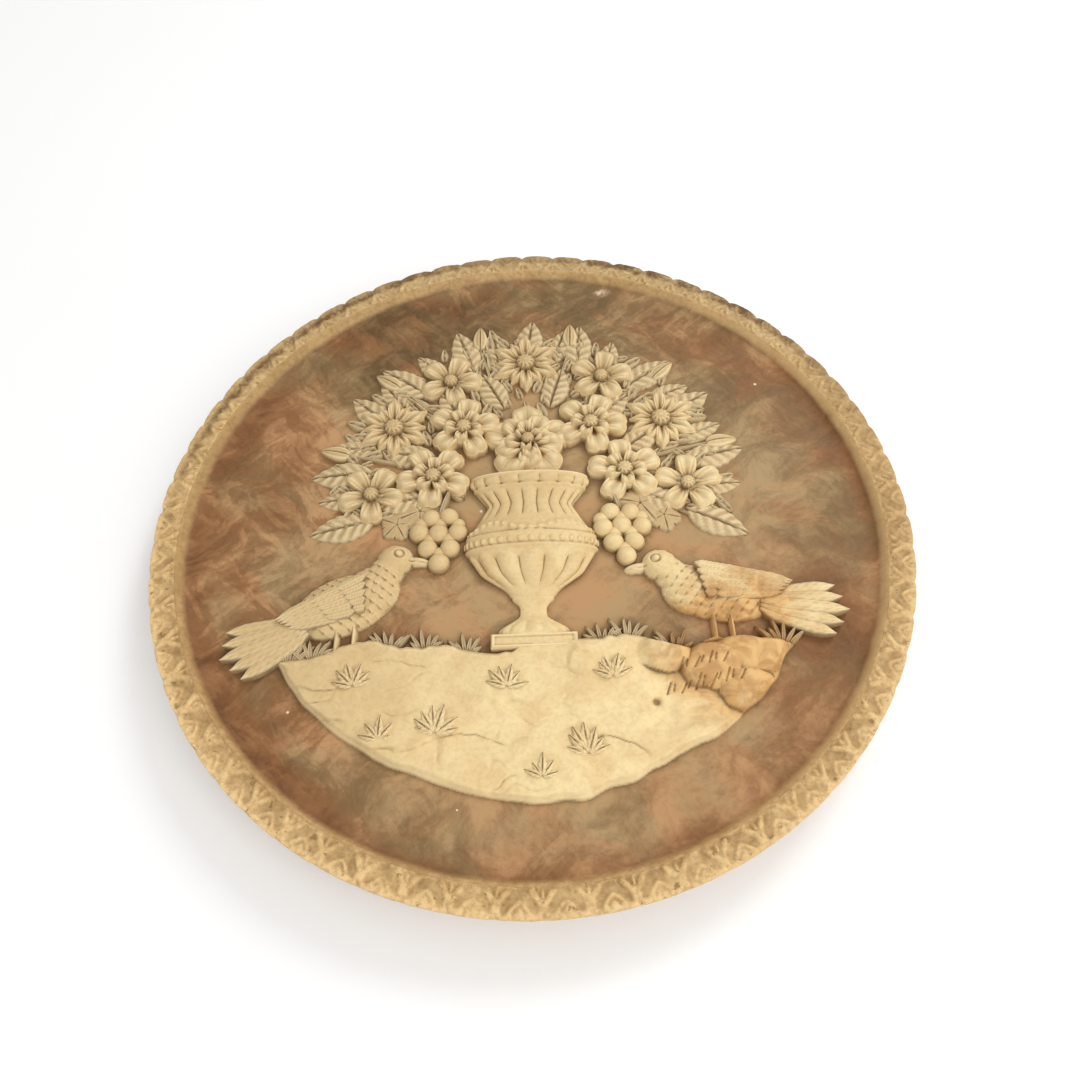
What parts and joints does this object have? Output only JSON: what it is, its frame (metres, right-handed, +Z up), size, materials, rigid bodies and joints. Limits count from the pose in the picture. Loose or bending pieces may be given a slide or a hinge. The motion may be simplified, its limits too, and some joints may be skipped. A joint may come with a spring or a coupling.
{
  "type": "relief pottery dish",
  "caption": "Round moulded decorative dish on a foot ring, with an ornamented border and an urn of flowers in relief on its well.",
  "frame": {"origin": "middle of the foot ring's underside, on the surface that the dish lies on", "axes": "+Z up along the dish's axis, +Y towards the top of the relief's picture, +X to the picture's right"},
  "size_m": [0.2596, 0.26, 0.0216],
  "materials": {
    "pottery": "waxed matt pottery or cast stone, cream in the relief and the border, mottled brown on the ground"
  },
  "bodies": {
    "root": {"dish": "pottery"}
  },
  "joints": []
}
